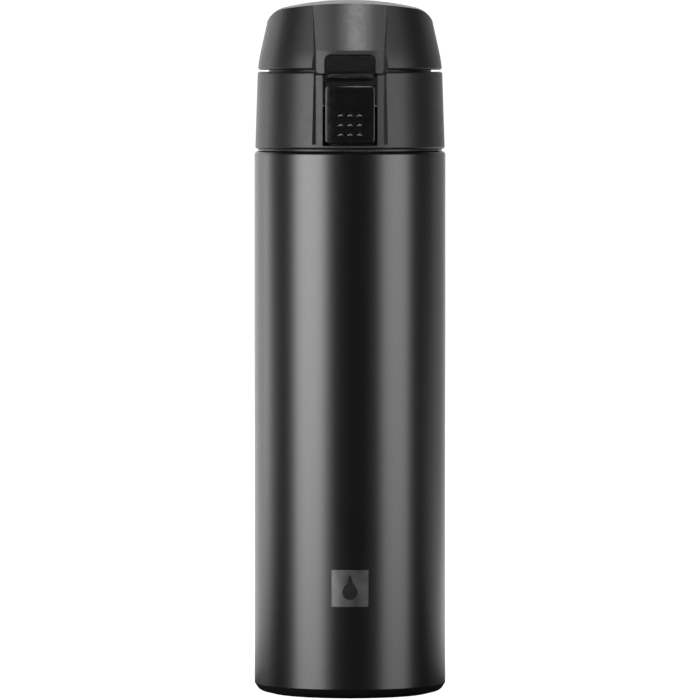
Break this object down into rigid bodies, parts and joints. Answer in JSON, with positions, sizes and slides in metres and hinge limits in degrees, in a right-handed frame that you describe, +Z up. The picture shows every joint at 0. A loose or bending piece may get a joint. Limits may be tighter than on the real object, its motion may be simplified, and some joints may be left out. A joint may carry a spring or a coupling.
{
  "type": "vacuum flask",
  "caption": "Double-walled black steel vacuum flask with a screw-on lid unit, push-button flip lid, safety slide and drinking spout.",
  "frame": {"origin": "centre of the base, on the plane the flask stands on", "axes": "+Z up along the flask, the push button faces -Y, the lid hinge is at +Y"},
  "size_m": [0.066, 0.066, 0.2397],
  "materials": {
    "body_paint": "satin black powder paint on steel",
    "badge": "brushed light grey plate with a dark drop mark",
    "liner_steel": "electropolished stainless steel",
    "foil": "bright reflective foil",
    "seal_glass": "fused solder glass",
    "getter": "pressed grey metal powder",
    "base_plastic": "matt black moulding",
    "lid_plastic": "fine-textured black polypropylene",
    "silicone": "dark grey silicone",
    "pin_steel": "drawn stainless pin",
    "pin_black": "blackened steel pin",
    "spring_steel": "spring wire",
    "button_gloss": "glossy black with raised grip points",
    "lock_plastic": "satin black with a polished thumb ledge"
  },
  "bodies": {
    "bottle": {"outer_shell": "body_paint", "badge_plate": "badge", "inner_liner": "liner_steel", "insulation_foil": "foil", "bottom_plate": "liner_steel", "vacuum_seal_bead": "seal_glass", "getter_pellet": "getter", "base_pad": "base_plastic"},
    "seal_ring": {"neck_gasket": "silicone"},
    "lid_unit": {"inner_housing": "lid_plastic", "drinking_spout": "lid_plastic", "spout_gasket": "silicone", "collar_shell": "lid_plastic", "hinge_pin": "pin_steel", "button_pivot_pin": "pin_black", "hinge_spring": "spring_steel", "button_spring": "spring_steel"},
    "button": {"release_button": "button_gloss"},
    "lock": {"lock_slider": "lock_plastic"},
    "flip_lid": {"flip_lid_shell": "lid_plastic", "lid_inner_cover": "lid_plastic", "spout_seal": "silicone"}
  },
  "joints": [
    {"name": "lid_lift", "type": "slide", "parent": "bottle", "child": "seal_ring", "axis": [0, 0, 1], "range_m": [0, 0.0181]},
    {"name": "lid_unscrew", "type": "hinge", "parent": "seal_ring", "child": "lid_unit", "pos_m": [0, 0, 0.2], "axis": [0, 0, 1], "range_deg": [0, 810]},
    {"name": "flip_lid_hinge", "type": "hinge", "parent": "lid_unit", "child": "flip_lid", "pos_m": [0, 0.028, 0.2105], "axis": [-1, 0, 0], "range_deg": [0, 105], "deforming": ["hinge_spring"]},
    {"name": "button_press", "type": "hinge", "parent": "lid_unit", "child": "button", "pos_m": [0, -0.0276, 0.203], "axis": [1, 0, 0], "range_deg": [0, 6], "stiffness_Nm_per_rad": 0.3, "springref_deg": -1.72, "deforming": ["button_spring"]},
    {"name": "lock_slide", "type": "slide", "parent": "lid_unit", "child": "lock", "axis": [0, 0, -1], "range_m": [0, 0.002]}
  ],
  "couplings": [
    {"joint": "lid_lift", "follows": "lid_unscrew", "m_per_rad": 0.0012732}
  ]
}
